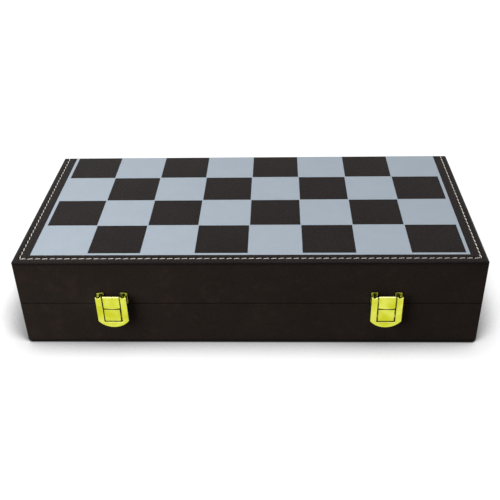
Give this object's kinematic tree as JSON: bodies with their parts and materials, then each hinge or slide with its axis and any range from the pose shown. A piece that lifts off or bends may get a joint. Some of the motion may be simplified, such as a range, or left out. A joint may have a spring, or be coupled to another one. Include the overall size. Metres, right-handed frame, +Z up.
{
  "type": "folding chess board box",
  "caption": "Folding leatherette chess board that closes into a flat hinged box, with silver squares on the outside and two toggle latches on the front.",
  "frame": {"origin": "middle of the underside of the closed box, midway between its left and right edges and midway between the play panel's front and back edges", "axes": "+X to the right along the long side seen from the latches, +Y from the latches to the hinges, +Z up"},
  "size_m": [0.3516, 0.1826, 0.076],
  "materials": {
    "fibreboard": "raw sawn fibreboard, hidden under the covering",
    "grey_card": "grey bookbinder's card, hidden under the covering",
    "panel_leatherette": "pebbled dark brown leatherette over thin foam",
    "silver_print": "pale silver-blue print on the leatherette, satin",
    "case_leatherette": "smooth matt dark brown leatherette",
    "lining_felt": "black flocked lining",
    "hinge_steel": "brass-plated steel",
    "gilt_steel": "bright lemon-gold plated steel"
  },
  "bodies": {
    "base": {"base_board": "fibreboard", "base_front_wall": "fibreboard", "base_back_wall": "fibreboard", "base_left_wall": "fibreboard", "base_right_wall": "fibreboard", "base_panel_core": "grey_card", "base_panel_cover": "panel_leatherette", "base_panel_squares": "silver_print", "base_wall_cover": "case_leatherette", "base_floor_lining": "lining_felt", "base_wall_lining": "lining_felt", "left_hinge_base_leaf": "hinge_steel", "left_hinge_pin": "hinge_steel", "right_hinge_base_leaf": "hinge_steel", "right_hinge_pin": "hinge_steel", "hinge_base_screws": "hinge_steel", "left_latch_catch": "gilt_steel", "left_latch_catch_screws": "gilt_steel", "right_latch_catch": "gilt_steel", "right_latch_catch_screws": "gilt_steel"},
    "lid": {"lid_board": "fibreboard", "lid_front_wall": "fibreboard", "lid_back_wall": "fibreboard", "lid_left_wall": "fibreboard", "lid_right_wall": "fibreboard", "lid_panel_core": "grey_card", "lid_panel_cover": "panel_leatherette", "lid_panel_squares": "silver_print", "lid_wall_cover": "case_leatherette", "lid_floor_lining": "lining_felt", "lid_wall_lining": "lining_felt", "left_hinge_lid_leaf": "hinge_steel", "right_hinge_lid_leaf": "hinge_steel", "hinge_lid_screws": "hinge_steel", "left_latch_bracket": "gilt_steel", "left_latch_bracket_screws": "gilt_steel", "left_latch_rivets": "gilt_steel", "right_latch_bracket": "gilt_steel", "right_latch_bracket_screws": "gilt_steel", "right_latch_rivets": "gilt_steel"},
    "left_lever": {"left_latch_lever": "gilt_steel", "left_latch_link_pin": "gilt_steel"},
    "left_link": {"left_latch_link": "gilt_steel"},
    "right_lever": {"right_latch_lever": "gilt_steel", "right_latch_link_pin": "gilt_steel"},
    "right_link": {"right_latch_link": "gilt_steel"}
  },
  "joints": [
    {"name": "lid_hinge", "type": "hinge", "parent": "base", "child": "lid", "pos_m": [0, 0.0875, 0.038], "axis": [-1, 0, 0], "range_deg": [0, 180]},
    {"name": "left_latch_lever_hinge", "type": "hinge", "parent": "lid", "child": "left_lever", "pos_m": [-0.1035, -0.0908, 0.045], "axis": [-1, 0, 0], "range_deg": [0, 90]},
    {"name": "left_latch_link_hinge", "type": "hinge", "parent": "left_lever", "child": "left_link", "pos_m": [-0.1035, -0.0917, 0.0472], "axis": [-1, 0, 0], "range_deg": [-54, 0]},
    {"name": "right_latch_lever_hinge", "type": "hinge", "parent": "lid", "child": "right_lever", "pos_m": [0.1035, -0.0908, 0.045], "axis": [-1, 0, 0], "range_deg": [0, 90]},
    {"name": "right_latch_link_hinge", "type": "hinge", "parent": "right_lever", "child": "right_link", "pos_m": [0.1035, -0.0917, 0.0472], "axis": [-1, 0, 0], "range_deg": [-54, 0]}
  ],
  "couplings": [
    {"joint": "left_latch_link_hinge", "follows": "left_latch_lever_hinge", "ratio": -0.6},
    {"joint": "right_latch_link_hinge", "follows": "right_latch_lever_hinge", "ratio": -0.6}
  ]
}
